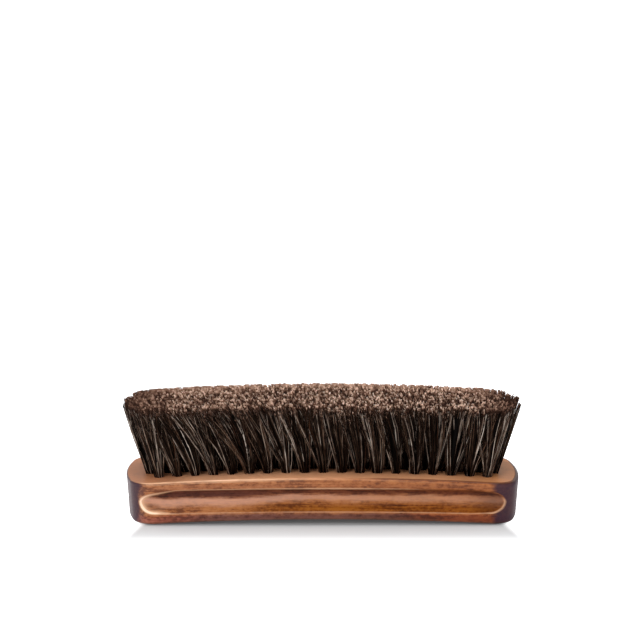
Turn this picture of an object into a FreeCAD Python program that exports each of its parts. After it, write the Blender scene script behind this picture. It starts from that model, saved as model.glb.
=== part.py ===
import FreeCAD
import Part
import math
import os

# Shoe shine brush, lying on its back with the hair up, in millimetres.
# A one-piece wooden block is hollowed along its back to sit in the palm and has a finger cove down
# each long side. Its crowned face is drilled with fanned rows of blind holes. In each hole a tuft of
# horsehair, folded in half, is held down by a flat wire anchor that bites into the wood.
# X runs along the block, Y across it and Z up. The origin is on the table, under the middle.

# Block: plan outline and ends
block_length = 170.0
block_width = 50.0
block_thickness = 18.5        # back to face at mid-length
end_arc_radius = 70.0         # the shallow bow of each end, in plan
corner_radius = 11.0          # the four rounded corners, in plan
end_undercut = 1.3            # the back is this much shorter than the face at each end

# Block: long curves and edge rounding
back_arch_radius = 1400.0     # hollow of the back along its length
face_arch_radius = 1200.0     # crown of the bristle face along its length
back_edge_radius = 1.2
face_edge_radius = 0.6

# Finger coves
cove_opening = 10.5           # width of the cove at the side face
cove_depth = 2.6
cove_lip = 4.4                # wood left between the cove and the face at mid-length
cove_arch_radius = 2500.0

# Drilled holes
row_count = 5
holes_in_long_row = 20        # every second row, from the second, has one hole more than its neighbours
end_margin = 11.0             # block's end to the first hole of a long row
side_margin = 10.6            # block's side to the first row
hole_diameter = 4.2
hole_floor = 7.0              # wood left under the holes at mid-length

# Tufts, packed hair that is flat-sided where it presses on its neighbours
tuft_sides = 12
bristle_length = 30.5         # free hair above the face at mid-length
tip_arch_radius = 1400.0      # the hair is trimmed to this crown
end_splay = 7.1               # the end tufts' tips stand out this far past their holes
side_splay = 1.5              # the outer rows' tips stand out this far past their holes
corner_tuck = 0.35            # share of the end splay that the outer rows go without
tuft_gap = 0.3                # air between neighbouring tufts where they are widest
tuft_full_share = 0.9         # share of the free length at which a tuft is at its widest
tuft_fullness = 0.6           # 0 is a straight cone, 1 meets its neighbours half way up the flare
hole_clearance = 0.05

# Wire anchors
anchor_height = 1.8
anchor_thickness = 0.4
anchor_bite = 0.4             # each end goes this far into the wood
anchor_seat = 1.2             # bottom of the hole to the anchor's lower edge

# Working allowances
cut_margin = 10.0             # how far cutting tools run past the block
surface_tolerance = 0.01      # an edge this close to a surface lies on it

# Sizes that follow from the ones above
half_length = block_length / 2
half_width = block_width / 2
rest_reach = half_length - end_undercut - back_edge_radius
back_mid = back_arch_radius - math.sqrt(back_arch_radius ** 2 - rest_reach ** 2)
face_mid = back_mid + block_thickness
tip_mid = face_mid + bristle_length
hole_radius = hole_diameter / 2
hole_depth = block_thickness - hole_floor
root_radius = hole_radius - hole_clearance
long_row_reach = half_length - end_margin
outer_row_reach = half_width - side_margin
hole_pitch = 2 * long_row_reach / (holes_in_long_row - 1)
row_pitch = 2 * outer_row_reach / (row_count - 1)
end_fan = 1 + end_splay / long_row_reach
side_fan = 1 + side_splay / outer_row_reach
vertical = FreeCAD.Vector(0, 0, 1)
along = FreeCAD.Vector(1, 0, 0)
across = FreeCAD.Vector(0, 1, 0)


def arch_height(mid_height, radius, x):
    """Height at x of a crown that is mid_height at mid-length."""
    return mid_height - radius + math.sqrt(radius ** 2 - x ** 2)


def arc_about(centre, radius, start_angle, end_angle):
    """Edge of a level arc, from one angle to the other."""
    def point(angle):
        return centre + FreeCAD.Vector(radius * math.cos(angle), radius * math.sin(angle), 0)

    return Part.Arc(point(start_angle), point((start_angle + end_angle) / 2), point(end_angle)).toShape()


def plan_outline(reach, height):
    """Closed outline of the block in plan, reaching from -reach to reach along X."""
    corner_y = half_width - corner_radius
    end_centre = reach - end_arc_radius
    corner_x = end_centre + math.sqrt((end_arc_radius - corner_radius) ** 2 - corner_y ** 2)
    end_angle = math.atan2(corner_y, corner_x - end_centre)
    edges = []
    for turn in (0, math.pi):
        side = 1 if turn == 0 else -1
        near_corner = FreeCAD.Vector(side * corner_x, -side * corner_y, height)
        far_corner = FreeCAD.Vector(side * corner_x, side * corner_y, height)
        end = FreeCAD.Vector(side * end_centre, 0, height)
        side_start = FreeCAD.Vector(-side * corner_x, -side * half_width, height)
        side_end = FreeCAD.Vector(side * corner_x, -side * half_width, height)
        edges += [
            Part.LineSegment(side_start, side_end).toShape(),
            arc_about(near_corner, corner_radius, turn - math.pi / 2, turn - end_angle),
            arc_about(end, end_arc_radius, turn - end_angle, turn + end_angle),
            arc_about(far_corner, corner_radius, turn + end_angle, turn + math.pi / 2),
        ]
    return Part.Wire(edges)


def crowned_slab(low_mid, low_radius, high_mid, high_radius):
    """Solid between two crowned surfaces that bend along X, wider and longer than the block."""
    reach = half_length + end_splay + cut_margin
    depth = block_width + 2 * (side_splay + cut_margin)

    def point(x, mid_height, radius):
        return FreeCAD.Vector(x, -depth / 2, arch_height(mid_height, radius, x))

    low = [point(x, low_mid, low_radius) for x in (-reach, 0, reach)]
    high = [point(x, high_mid, high_radius) for x in (reach, 0, -reach)]
    outline = Part.Wire([
        Part.Arc(*low).toShape(),
        Part.LineSegment(low[-1], high[0]).toShape(),
        Part.Arc(*high).toShape(),
        Part.LineSegment(high[-1], low[0]).toShape(),
    ])
    return Part.Face(outline).extrude(across * depth)


def rim_edges(block, mid_height, radius):
    """Edges of the block that lie on one of its crowned surfaces."""
    def on_surface(edge):
        middle = edge.valueAt((edge.FirstParameter + edge.LastParameter) / 2)
        ends = [vertex.Point for vertex in edge.Vertexes]
        heights = [abs(p.z - arch_height(mid_height, radius, p.x)) for p in (middle, *ends)]
        return max(heights) < surface_tolerance

    return [edge for edge in block.Edges if on_surface(edge)]


def block_blank():
    """The block before its coves and holes: outlined, crowned and eased along its edges."""
    widest = arch_height(face_mid, face_arch_radius, half_length) - face_edge_radius
    draft = end_undercut / widest
    outlines = [
        plan_outline(half_length + draft * (height - widest), height)
        for height in (-cut_margin, face_mid + cut_margin)
    ]
    prism = Part.makeLoft(outlines, True, True)
    blank = prism.common(crowned_slab(back_mid, back_arch_radius, face_mid, face_arch_radius))
    blank = blank.Solids[0]
    blank = blank.makeFillet(back_edge_radius, rim_edges(blank, back_mid, back_arch_radius))
    return blank.makeFillet(face_edge_radius, rim_edges(blank, face_mid, face_arch_radius))


def cove_cutter(side):
    """Round cutter swept along the shallow arch of one long side. It runs out at the corners."""
    cutter_radius = (cove_opening ** 2 / 4 + cove_depth ** 2) / (2 * cove_depth)
    middle = face_mid - cove_lip - cove_opening / 2
    centre = FreeCAD.Vector(0, side * (half_width - cove_depth + cutter_radius), middle)
    pivot = FreeCAD.Vector(0, 0, middle - cove_arch_radius)
    swing = math.degrees(math.asin((half_length + cut_margin) / cove_arch_radius))
    disc = Part.Face(Part.Wire(Part.makeCircle(cutter_radius, centre, along)))
    disc.rotate(centre, along, 90 - side * 90)  # keeps the cutter's seam out of the wood
    disc.rotate(pivot, across, -swing)
    return disc.revolve(pivot, across, 2 * swing)


def tuft_places():
    """One entry per tuft: its rank along the block, its row, its hole's mouth and its tip."""
    places = []
    for row in range(row_count):
        long_row = row % 2 == 1
        y = row * row_pitch - outer_row_reach
        for k in range(holes_in_long_row if long_row else holes_in_long_row - 1):
            rank = 2 * k if long_row else 2 * k + 1
            x = rank * hole_pitch / 2 - long_row_reach
            mouth = FreeCAD.Vector(x, y, arch_height(face_mid, face_arch_radius, x))
            tip_x = x * (1 + (end_fan - 1) * (1 - corner_tuck * (y / outer_row_reach) ** 2))
            tip = FreeCAD.Vector(tip_x, y * side_fan, arch_height(tip_mid, tip_arch_radius, tip_x))
            places.append((rank, row, mouth, tip))
    return places


def placed(shape, mouth, tip):
    """A copy of a shape drawn up from the bottom of a hole, set in the hole that points from mouth to tip."""
    axis = (tip - mouth).normalize()
    turn = FreeCAD.Rotation(along, FreeCAD.Vector(), axis, "ZXY")
    copy = shape.copy()
    copy.Placement = FreeCAD.Placement(mouth - axis * hole_depth, turn)
    return copy


def hole_cutter():
    """Flat-ended drill, from the bottom of the hole up through the face."""
    return Part.makeCylinder(hole_radius, hole_depth + hole_diameter)


def anchor_strip():
    """Flat wire that spans the hole and bites into the wood on both sides."""
    length = hole_diameter + 2 * anchor_bite
    corner = FreeCAD.Vector(-length / 2, -anchor_thickness / 2, anchor_seat)
    return Part.makeBox(length, anchor_thickness, anchor_height, corner)


def widest_radius(share):
    """Radius that leaves the tuft gap between neighbours, at a share of the way from face to tips."""
    pitch = hole_pitch * (1 + (end_fan - 1) * (1 - corner_tuck) * share)
    row_step = row_pitch * (1 + (side_fan - 1) * share)
    return (min(pitch, math.hypot(pitch / 2, row_step)) - tuft_gap) / 2


def tuft_ring(radius, height):
    """Level section of a tuft."""
    turns = [2 * math.pi * k / tuft_sides for k in range(tuft_sides + 1)]
    return Part.makePolygon([
        FreeCAD.Vector(radius * math.cos(turn), radius * math.sin(turn), height) for turn in turns
    ])


def tuft_blank(anchor):
    """A folded tuft, untrimmed: its root fills the hole, pinched by the anchor, and then it flares."""
    tip_radius = widest_radius(tuft_full_share)
    straight = (root_radius + tip_radius) / 2
    middle_radius = straight + tuft_fullness * (widest_radius(tuft_full_share / 2) - straight)
    flare = tuft_full_share * bristle_length
    blank = Part.makeLoft([
        tuft_ring(root_radius, hole_clearance),
        tuft_ring(root_radius, hole_depth),
        tuft_ring(middle_radius, hole_depth + flare / 2),
        tuft_ring(tip_radius, hole_depth + flare),
        tuft_ring(tip_radius, hole_depth + bristle_length + 2 * tip_radius),
    ], True, True)
    return blank.cut(anchor)


def trim_block(tip):
    """Box whose underside touches the tip crown at one tuft's tip. It shears the tuft off level with it."""
    size = 2 * bristle_length
    box = Part.makeBox(size, size, size, FreeCAD.Vector(-size / 2, -size / 2, 0))
    crown_centre = FreeCAD.Vector(0, tip.y, tip_mid - tip_arch_radius)
    box.Placement = FreeCAD.Placement(tip, FreeCAD.Rotation(vertical, tip - crown_centre))
    return box


def build():
    """Every node of the brush, by name."""
    places = tuft_places()
    anchor = anchor_strip()
    tuft = tuft_blank(anchor)
    drill = hole_cutter()
    cutters = [cove_cutter(side) for side in (-1, 1)]
    cutters += [placed(tool, mouth, tip) for _, _, mouth, tip in places for tool in (drill, anchor)]
    nodes = {"wood_block": block_blank().cut(cutters)}
    for rank, row, mouth, tip in places:
        tuft_node = f"tufts_rank_{rank + 1:02d}"
        anchor_node = f"anchors_row_{row + 1}"
        nodes.setdefault(tuft_node, []).append(placed(tuft, mouth, tip).cut(trim_block(tip)))
        nodes.setdefault(anchor_node, []).append(placed(anchor, mouth, tip))
    return nodes


def main():
    """Writes one STEP file per node."""
    os.makedirs("parts", exist_ok=True)
    for name, shape in build().items():
        if isinstance(shape, list):
            shape = Part.makeCompound([solid for piece in shape for solid in piece.Solids])
        shape.exportStep(f"parts/{name}.step")
        print(name, len(shape.Solids), round(shape.Volume, 1), shape.isValid())


main()
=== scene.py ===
"""Dressed model of a shoe shine brush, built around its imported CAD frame.

The brush rests on the arched back of its hardwood block with the hair up.
All lengths are metres in the frame of the CAD: X along the block, minus Y
towards the camera, Z up.
"""
import logging
import math
from dataclasses import dataclass, field
from enum import Enum
from typing import Any, Dict, List, Optional, Sequence, Tuple, Union

import bpy
import numpy as np
from mathutils import Matrix, Vector


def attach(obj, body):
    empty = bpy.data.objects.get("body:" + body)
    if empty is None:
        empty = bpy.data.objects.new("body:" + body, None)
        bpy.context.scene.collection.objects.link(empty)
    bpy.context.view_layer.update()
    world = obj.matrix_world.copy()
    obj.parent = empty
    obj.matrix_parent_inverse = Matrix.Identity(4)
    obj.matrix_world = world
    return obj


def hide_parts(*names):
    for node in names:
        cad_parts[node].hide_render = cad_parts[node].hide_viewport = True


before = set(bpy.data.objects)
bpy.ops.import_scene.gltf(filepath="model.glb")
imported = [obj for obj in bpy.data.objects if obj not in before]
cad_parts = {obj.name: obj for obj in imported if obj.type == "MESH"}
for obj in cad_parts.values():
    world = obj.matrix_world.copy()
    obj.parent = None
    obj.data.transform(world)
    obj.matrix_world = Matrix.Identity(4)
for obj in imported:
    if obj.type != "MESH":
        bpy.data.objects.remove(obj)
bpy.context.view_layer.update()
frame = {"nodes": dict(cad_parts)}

LOG = logging.getLogger("shoe_brush")
Array = np.ndarray
Colour = Tuple[float, float, float]
Span = Tuple[float, float]
MM = 0.001
BODY = "root"
IMAGE_SIZE = 640


class Slot(Enum):
    """Material slots of the record."""

    WOOD = "wood"
    HAIR = "horsehair"


class Blend(Enum):
    """Ways in which one colour goes over another."""

    OVER = "MIX"
    STAIN = "MULTIPLY"


@dataclass(frozen=True)
class Noise:
    """A noise on Object coordinates.

    The stretch is in repeats per metre along X, Y and Z and the detail in
    octaves. Roughness is the strength of the finer octaves, and the shift
    sets one pattern apart from another.
    """

    stretch: Tuple[float, float, float]
    detail: float
    roughness: float
    shift: float = 0.0


def from_least(least: float, share: Any) -> Any:
    """Share that starts at a least value: least + (1 - least) * share."""
    return least + (1 - least) * share


class Term:
    """A node's output socket that takes part in Python arithmetic."""

    def __init__(self, book: "NodeBook", socket: bpy.types.NodeSocket) -> None:
        """Keep the socket and the material it belongs to."""
        self.book = book
        self.socket = socket

    def _math(self, operation: str, first: Any, second: Any = 0.0) -> "Term":
        """Add one Math node and return its result."""
        return self.book.node(
            "ShaderNodeMath", {"operation": operation}, {0: first, 1: second})

    def __add__(self, other: Any) -> "Term":
        """Sum of two values."""
        return self._math("ADD", self, other)

    def __radd__(self, other: Any) -> "Term":
        """Sum with a number on the left."""
        return self._math("ADD", other, self)

    def __sub__(self, other: Any) -> "Term":
        """Difference of two values."""
        return self._math("SUBTRACT", self, other)

    def __rsub__(self, other: Any) -> "Term":
        """Difference with a number on the left."""
        return self._math("SUBTRACT", other, self)

    def __mul__(self, other: Any) -> "Term":
        """Product of two values."""
        return self._math("MULTIPLY", self, other)

    def __rmul__(self, other: Any) -> "Term":
        """Product with a number on the left."""
        return self._math("MULTIPLY", other, self)

    def __abs__(self) -> "Term":
        """Size of a value without its sign."""
        return self._math("ABSOLUTE", self)

    def most(self, other: Any) -> "Term":
        """Larger of two values."""
        return self._math("MAXIMUM", self, other)

    def step(self, start: float, end: float) -> "Term":
        """Smooth step, 3 s^2 - 2 s^3 over the share s of the way.

        Args:
            start: Value where the step is 0; it may lie above the end.
            end: Value where the step is 1.

        Returns:
            The step, 0 to 1.
        """
        low, high = min(start, end), max(start, end)
        rising = self.book.node(
            "ShaderNodeMapRange", {"interpolation_type": "SMOOTHSTEP"},
            {"Value": self, "From Min": low, "From Max": high})
        return rising if start < end else 1.0 - rising


class NodeBook:
    """A node tree, with one method that adds any node."""

    def __init__(self, owner: Union[bpy.types.Material, bpy.types.World]
                 ) -> None:
        """Empty the tree of a material or world.

        Args:
            owner: The material or world.
        """
        self.owner = owner
        owner.use_nodes = True
        self.tree = owner.node_tree
        self.tree.nodes.clear()

    @classmethod
    def material(cls, name: str) -> "NodeBook":
        """Start a new material."""
        return cls(bpy.data.materials.new(name))

    def feed(self, socket: bpy.types.NodeSocket, value: Any) -> None:
        """Link a term to a socket, or set a plain value on it.

        Args:
            socket: Input socket of a node.
            value: Term, colour or number.
        """
        if isinstance(value, Term):
            self.tree.links.new(value.socket, socket)
        elif isinstance(value, tuple) and socket.type == "RGBA":
            socket.default_value = (*value, 1.0)
        else:
            socket.default_value = value

    def node(self, kind: str, settings: Optional[Dict[str, Any]] = None,
             sockets: Optional[Dict[Union[int, str], Any]] = None,
             out: Union[int, str] = 0) -> Term:
        """Add a node.

        Args:
            kind: Blender's type name of the node.
            settings: Properties set first; "stops" fills a colour ramp.
            sockets: Values or terms for its inputs, by name or index.
            out: Name or index of the output that is returned.

        Returns:
            The chosen output as a term.
        """
        node = self.tree.nodes.new(kind)
        for key, value in (settings or {}).items():
            if key == "stops":
                self._fill_ramp(node.color_ramp, value)
            else:
                setattr(node, key, value)
        for key, value in (sockets or {}).items():
            self.feed(node.inputs[key], value)
        return Term(self, node.outputs[out])

    @staticmethod
    def _fill_ramp(ramp: Any, stops: Sequence[Tuple[float, Colour]]) -> None:
        """Give a colour ramp its stops.

        Args:
            ramp: The ramp.
            stops: Place and colour of each stop, in order.
        """
        while len(ramp.elements) < len(stops):
            ramp.elements.new(1.0)
        for element, (place, colour) in zip(ramp.elements, stops):
            element.position = place
            element.color = (*colour, 1.0)

    def place(self) -> Term:
        """Object coordinates, in metres."""
        return self.node("ShaderNodeTexCoord", out="Object")

    def attribute(self, name: str) -> Term:
        """A float attribute of the mesh."""
        return self.node(
            "ShaderNodeAttribute", {"attribute_name": name}, out="Fac")

    def axis(self, name: str) -> Term:
        """One Object coordinate, X, Y or Z."""
        return self.node(
            "ShaderNodeSeparateXYZ", None, {0: self.place()}, out=name)

    def noise(self, kind: Noise) -> Term:
        """Noise on Object coordinates.

        Args:
            kind: Stretch, detail, roughness and shift of the noise.

        Returns:
            The noise value, about 0.3 to 0.7.
        """
        spot = self.node("ShaderNodeMapping", None, {
            "Vector": self.place(), "Scale": kind.stretch,
            "Location": (kind.shift,) * 3})
        return self.node("ShaderNodeTexNoise", None, {
            "Vector": spot, "Scale": 1.0, "Detail": kind.detail,
            "Roughness": kind.roughness})

    def ramp(self, value: Any, stops: Sequence[Tuple[float, Colour]]) -> Term:
        """Colour ramp over a value."""
        return self.node(
            "ShaderNodeValToRGB", {"stops": stops}, {0: value})

    def mix(self, share: Any, under: Any, over: Any,
            blend: Blend = Blend.OVER) -> Term:
        """One colour over another.

        Args:
            share: Strength of the upper colour.
            under: Lower colour.
            over: Upper colour.
            blend: How the upper colour goes over the lower.

        Returns:
            The mixed colour.
        """
        return self.node(
            "ShaderNodeMix", {"data_type": "RGBA", "blend_type": blend.value},
            {0: share, 6: under, 7: over}, out=2)

    def tint(self, colour: Any, tints: Sequence[Tuple[Any, Any]]) -> Term:
        """Stain a colour with several tints, one after the other.

        Args:
            colour: The colour.
            tints: Mask and colour of each tint.

        Returns:
            The stained colour.
        """
        for mask, shade in tints:
            colour = self.mix(mask, colour, shade, Blend.STAIN)
        return colour

    @staticmethod
    def both(value: Term, spans: Tuple[Span, Span]) -> Term:
        """Mask where a value is past the ends of two spans."""
        return value.step(*spans[0]) * value.step(*spans[1])

    @staticmethod
    def either(value: Term, spans: Tuple[Span, Span]) -> Term:
        """Mask where a value is past the end of one of two spans."""
        return value.step(*spans[0]).most(value.step(*spans[1]))

    def seen(self) -> Term:
        """Find the rays that show the background.

        Returns:
            1 for camera, mirror and glass rays, and 0 for all others.
        """
        camera, glossy, clear = (
            self.node("ShaderNodeLightPath", out=f"Is {kind} Ray")
            for kind in ("Camera", "Glossy", "Transmission"))
        return camera.most(glossy).most(clear)

    def finish(self, shader: Term) -> Any:
        """Join the last shader to the output.

        Args:
            shader: The last shader.

        Returns:
            The material or world that owns the tree.
        """
        world = isinstance(self.owner, bpy.types.World)
        output = self.tree.nodes.new(
            "ShaderNodeOutputWorld" if world else "ShaderNodeOutputMaterial")
        self.tree.links.new(shader.socket, output.inputs["Surface"])
        return self.owner


@dataclass(frozen=True)
class WoodFinish:
    """Stained and lacquered hardwood, rubbed pale along its arrises, with
    painted shade and painted highlights.

    A span holds the two values between which a mask goes from 0 to 1. A place
    is such a span along X; the other spans read the block's attributes. Rise
    is 0 in the middle of a cove, 1 and -1 at its arrises, 2 on the face and
    -3 on the back. Cove is the share of the cove's depth, and
    wear_and_highlight is the strength of the rub, which on the face edge also
    stands for a painted highlight.
    """

    # Noises
    blotch: Noise = Noise((70, 150, 150), 4, 0.6)
    grain: Noise = Noise((46, 700, 700), 5, 0.62, 3.0)
    mottle: Noise = Noise((520, 900, 900), 3, 0.6, 23.0)
    lines: Noise = Noise((24, 2300, 2300), 3, 0.55, 29.0)
    pores: Noise = Noise((170, 2600, 2600), 2, 0.5, 7.0)
    slow_edge: Noise = Noise((45, 300, 300), 3, 0.5, 11.0)
    fast_edge: Noise = Noise((150, 900, 900), 4, 0.6, 13.0)
    rub_patches: Noise = Noise((160, 500, 500), 3, 0.6, 17.0)

    # Stain and pores
    pale: Colour = (0.45, 0.177, 0.069)
    warm: Colour = (0.325, 0.112, 0.040)
    deep: Colour = (0.14, 0.041, 0.014)
    warm_stop: float = 0.45
    figure_weights: Tuple[float, ...] = (0.33, 0.22, 0.27, 0.18)
    figure_span: Span = (0.410, 0.590)
    pore_tint: Colour = (0.40, 0.30, 0.28)
    pore_span: Span = (0.40, 0.30)
    pore_share: float = 0.75

    # Coves
    slow_wander: float = 0.40
    fast_wander: float = 0.45
    # At the left end the painted shade reaches further down the cove, and the
    # painted highlight sits lower
    left_places: Tuple[Span, Span] = (
        (-12 * MM, -42 * MM), (-77 * MM, -66 * MM))
    left_lift: float = 0.26
    inside_span: Span = (0.05, 0.35)
    # Painted highlight along the middle of each cove, for the lacquer's sheen
    cove_painted_highlight: Colour = (0.65, 0.35, 0.245)
    highlight_spans: Tuple[Span, Span] = ((-0.45, 0.05), (0.55, 0.20))
    highlight_share: float = 0.62
    # Painted shade on the upper wall of each cove, under its lip, deeper at
    # the left end
    cove_top_shade: Colour = (0.42, 0.33, 0.38)
    cove_top_left_shade: Colour = (0.24, 0.17, 0.25)
    cove_top_shade_span: Span = (0.22, 0.66)
    cove_low_tint: Colour = (0.71, 0.62, 0.24)
    cove_low_edge: Span = (0.0, 0.14)
    cove_low_span: Span = (0.10, -0.80)
    cove_low_place: Span = (-60 * MM, -12 * MM)
    cove_low_least: float = 0.35
    cove_end_tint: Colour = (0.55, 0.52, 0.56)
    cove_end_place: Span = (58 * MM, 73 * MM)

    # Bands below the coves, painted shade above them, and the back
    lower_tint: Colour = (0.40, 0.39, 0.78)
    lower_span: Span = (-0.95, -1.3)
    lower_cove: Span = (0.0, 0.2)
    lower_left: Colour = (2.12, 1.77, 1.42)
    lower_left_place: Span = (-45 * MM, -66 * MM)
    lower_right: Colour = (1.50, 1.03, 0.50)
    lower_right_place: Span = (28 * MM, 50 * MM)
    back_tint: Colour = (0.80, 0.72, 0.78)
    back_span: Span = (-2.2, -2.6)
    # Painted shade on a band just above each cove's upper arris, away from the
    # middle
    brow_shade_colour: Colour = (0.66, 0.60, 0.70)
    brow_shade_spans: Tuple[Span, Span] = ((1.02, 1.10), (1.42, 1.22))
    brow_shade_places: Tuple[Span, Span] = (
        (-8 * MM, -24 * MM), (10 * MM, 26 * MM))
    brow_shade_share: float = 0.4

    # Face and its edge
    face_tone: Colour = (0.67, 0.345, 0.195)
    face_span: Span = (1.75, 1.95)
    face_share: float = 0.7
    face_left: Colour = (0.74, 0.63, 0.56)
    face_left_place: Span = (-52 * MM, -70 * MM)
    # Stain and painted shade that deepen towards the right, where less light
    # falls; lifted on the face near the right end
    right_stain_and_shade: Colour = (0.84, 0.73, 0.56)
    right_place: Span = (-75 * MM, 60 * MM)
    face_clear_place: Span = (72 * MM, 50 * MM)
    face_clear: float = 0.5
    rim_tint: Colour = (0.50, 0.55, 0.80)
    rim_spans: Tuple[Span, Span] = ((1.995, 1.90), (1.5, 1.6))
    rim_places: Tuple[Span, Span] = (
        (-79 * MM, -83 * MM), (79 * MM, 83 * MM))
    # Painted shade on the face edge, right of the middle
    edge_shade_colour: Colour = (0.37, 0.28, 0.22)
    edge_shade_spans: Tuple[Span, Span] = ((2.0, 1.96), (1.74, 1.84))
    edge_shade_place: Span = (2 * MM, 30 * MM)

    # Dark ends
    end_stain: Colour = (0.040, 0.020, 0.032)
    end_places: Tuple[Span, Span] = (
        (-76.5 * MM, -80 * MM), (71 * MM, 74.5 * MM))
    end_wander: float = 5 * MM
    end_cove: Span = (0.16, 0.03)
    end_share: float = 0.92

    # Rubbed and bare wood, with painted highlights on the face edge
    rubbed: Colour = (0.66, 0.375, 0.22)
    rub_span: Span = (0.08, 0.95)
    rub_patch_span: Span = (0.30, 0.55)
    rub_least: float = 0.6
    end_rub_loss: float = 0.6
    # Bare wood and painted highlight where the rub is strongest, on the face
    # edge and at the coves' run-outs
    bare_and_highlight: Colour = (1.00, 0.70, 0.50)
    bare_and_highlight_span: Span = (1.0, 1.7)

    # Lacquer
    roughness: float = 0.34
    blotch_roughness: float = 0.12
    rub_roughness: float = 0.10
    coat: float = 0.07
    coat_roughness: float = 0.20
    gloss: float = 0.18
    grain_relief: float = 0.6
    pore_relief: float = 0.8
    blotch_relief: float = 0.4
    bump_strength: float = 0.18
    bump_distance: float = 0.12 * MM
    dry_cove: float = 0.75
    dry_face: float = 0.55
    dry_ends: Span = (0.54, 0.74)

    def raw_stain(self, book: NodeBook, blotch: Term, grain: Term,
                  pores: Term) -> Term:
        """Stain on the plain wood.

        The figure is a weighted sum of blotches, long grain, mottle and fine
        lines, and it runs through three tones of stain.

        Args:
            book: The material's nodes.
            blotch: Noise of the blotches.
            grain: Noise of the long grain.
            pores: Mask of the pores.

        Returns:
            The colour.
        """
        noises = (blotch, grain, book.noise(self.mottle),
                  book.noise(self.lines))
        first, *others = (weight * noise for weight, noise in zip(
            self.figure_weights, noises))
        stain = book.ramp(sum(others, first).step(*self.figure_span), [
            (0.0, self.deep), (self.warm_stop, self.warm), (1.0, self.pale)])
        return book.tint(stain, [(self.pore_share * pores, self.pore_tint)])

    def cove_stain(self, book: NodeBook, stain: Term, place: Term,
                   height: Term, cove: Term) -> Tuple[Term, Term]:
        """Tint the coves: painted shade above, a painted highlight in the
        middle, golden stain below.

        Args:
            book: The material's nodes.
            stain: Colour so far.
            place: Place along X.
            height: Rise with a wandering edge.
            cove: Share of the cove's depth.

        Returns:
            The colour, and the mask of the golden part.
        """
        left = book.both(place, self.left_places)
        height = height + self.left_lift * left
        inside = cove.step(*self.inside_span)
        # Painted highlight along the middle of the cove
        middle = book.both(height, self.highlight_spans)
        stain = book.mix(self.highlight_share * inside * middle, stain,
                         self.cove_painted_highlight)
        # Painted shade on the upper wall of the cove, deeper at the left end
        top_shade = book.mix(left, self.cove_top_shade, self.cove_top_left_shade)
        low = cove.step(*self.cove_low_edge) * height.step(
            *self.cove_low_span) * from_least(
            self.cove_low_least, place.step(*self.cove_low_place))
        return book.tint(stain, [
            (inside * height.step(*self.cove_top_shade_span), top_shade),
            (low, self.cove_low_tint),
            (inside * place.step(*self.cove_end_place), self.cove_end_tint),
        ]), low

    def band_stain(self, book: NodeBook, stain: Term, place: Term,
                   rise: Term, lower: Term) -> Term:
        """Tint the lower band and the back, and paint shade above the coves.

        Args:
            book: The material's nodes.
            stain: Colour so far.
            place: Place along X.
            rise: The block's rise.
            lower: Mask of the lower band.

        Returns:
            The colour.
        """
        # Painted shade just above the coves
        brow_shade = book.both(rise, self.brow_shade_spans)
        brow_shade = brow_shade * book.either(place, self.brow_shade_places)
        return book.tint(stain, [
            (lower, self.lower_tint),
            (lower * place.step(*self.lower_left_place), self.lower_left),
            (lower * place.step(*self.lower_right_place), self.lower_right),
            (rise.step(*self.back_span), self.back_tint),
            (self.brow_shade_share * brow_shade, self.brow_shade_colour)])

    def face_stain(self, book: NodeBook, stain: Term, place: Term,
                   rise: Term, face: Term) -> Term:
        """Tint the face, its left part and end rims, and stain and paint shade
        on the right half.

        Args:
            book: The material's nodes.
            stain: Colour so far.
            place: Place along X.
            rise: The block's rise.
            face: Mask of the face.

        Returns:
            The colour.
        """
        clear = self.face_clear * face * place.step(*self.face_clear_place)
        rim = book.either(place, self.rim_places) * book.both(
            rise, self.rim_spans)
        stain = book.mix(self.face_share * face, stain, self.face_tone)
        # Right half: stain and painted shade, deepening to the right
        return book.tint(stain, [
            (place.step(*self.right_place) * (1.0 - clear), self.right_stain_and_shade),
            (face * place.step(*self.face_left_place), self.face_left),
            (rim, self.rim_tint)])

    def material(self) -> bpy.types.Material:
        """Build the wood.

        Returns:
            A material with figured stain, tinted bands, coves and ends, stain
            and painted shade deepening to the right, painted shade in and
            above the coves and on the face edge, a painted highlight in the
            coves, and pale rubbed edges that are also painted highlights on
            the face edge;
            lacquered, but drier on the face, on the ends and low in the coves.
        """
        book = NodeBook.material("stained_wood")
        blotch = book.noise(self.blotch)
        grain = book.noise(self.grain)
        pores = book.noise(self.pores).step(*self.pore_span)
        slow = book.noise(self.slow_edge) - 0.5
        fast = book.noise(self.fast_edge) - 0.5
        place = book.axis("X")
        rise, cove, wear_and_highlight = (
            book.attribute(name) for name in ("rise", "cove", "wear_and_highlight"))
        height = rise + (self.slow_wander * slow + self.fast_wander * fast)
        face = rise.step(*self.face_span)
        lower = height.step(*self.lower_span) * (
            1.0 - cove.step(*self.lower_cove))

        stain = self.raw_stain(book, blotch, grain, pores)
        stain, low = self.cove_stain(book, stain, place, height, cove)
        stain = self.band_stain(book, stain, place, rise, lower)
        stain = self.face_stain(book, stain, place, rise, face)
        ends = book.either(place + self.end_wander * (blotch - 0.5),
                           self.end_places)
        ends = ends * (1.0 - face) * cove.step(*self.end_cove)
        stain = book.mix(self.end_share * ends, stain, self.end_stain)

        # Rub along the arrises, which on the face edge is also a painted
        # highlight
        patchy = book.noise(self.rub_patches).step(*self.rub_patch_span)
        rub = wear_and_highlight.step(*self.rub_span) * from_least(self.rub_least, patchy)
        colour = book.mix(rub * (1.0 - self.end_rub_loss * ends), stain,
                          self.rubbed)
        colour = book.mix(wear_and_highlight.step(*self.bare_and_highlight_span), colour, self.bare_and_highlight)
        # Painted shade on the right part of the face edge
        edge = book.both(rise, self.edge_shade_spans) * place.step(*self.edge_shade_place)
        colour = book.tint(colour, [(edge, self.edge_shade_colour)])

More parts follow.
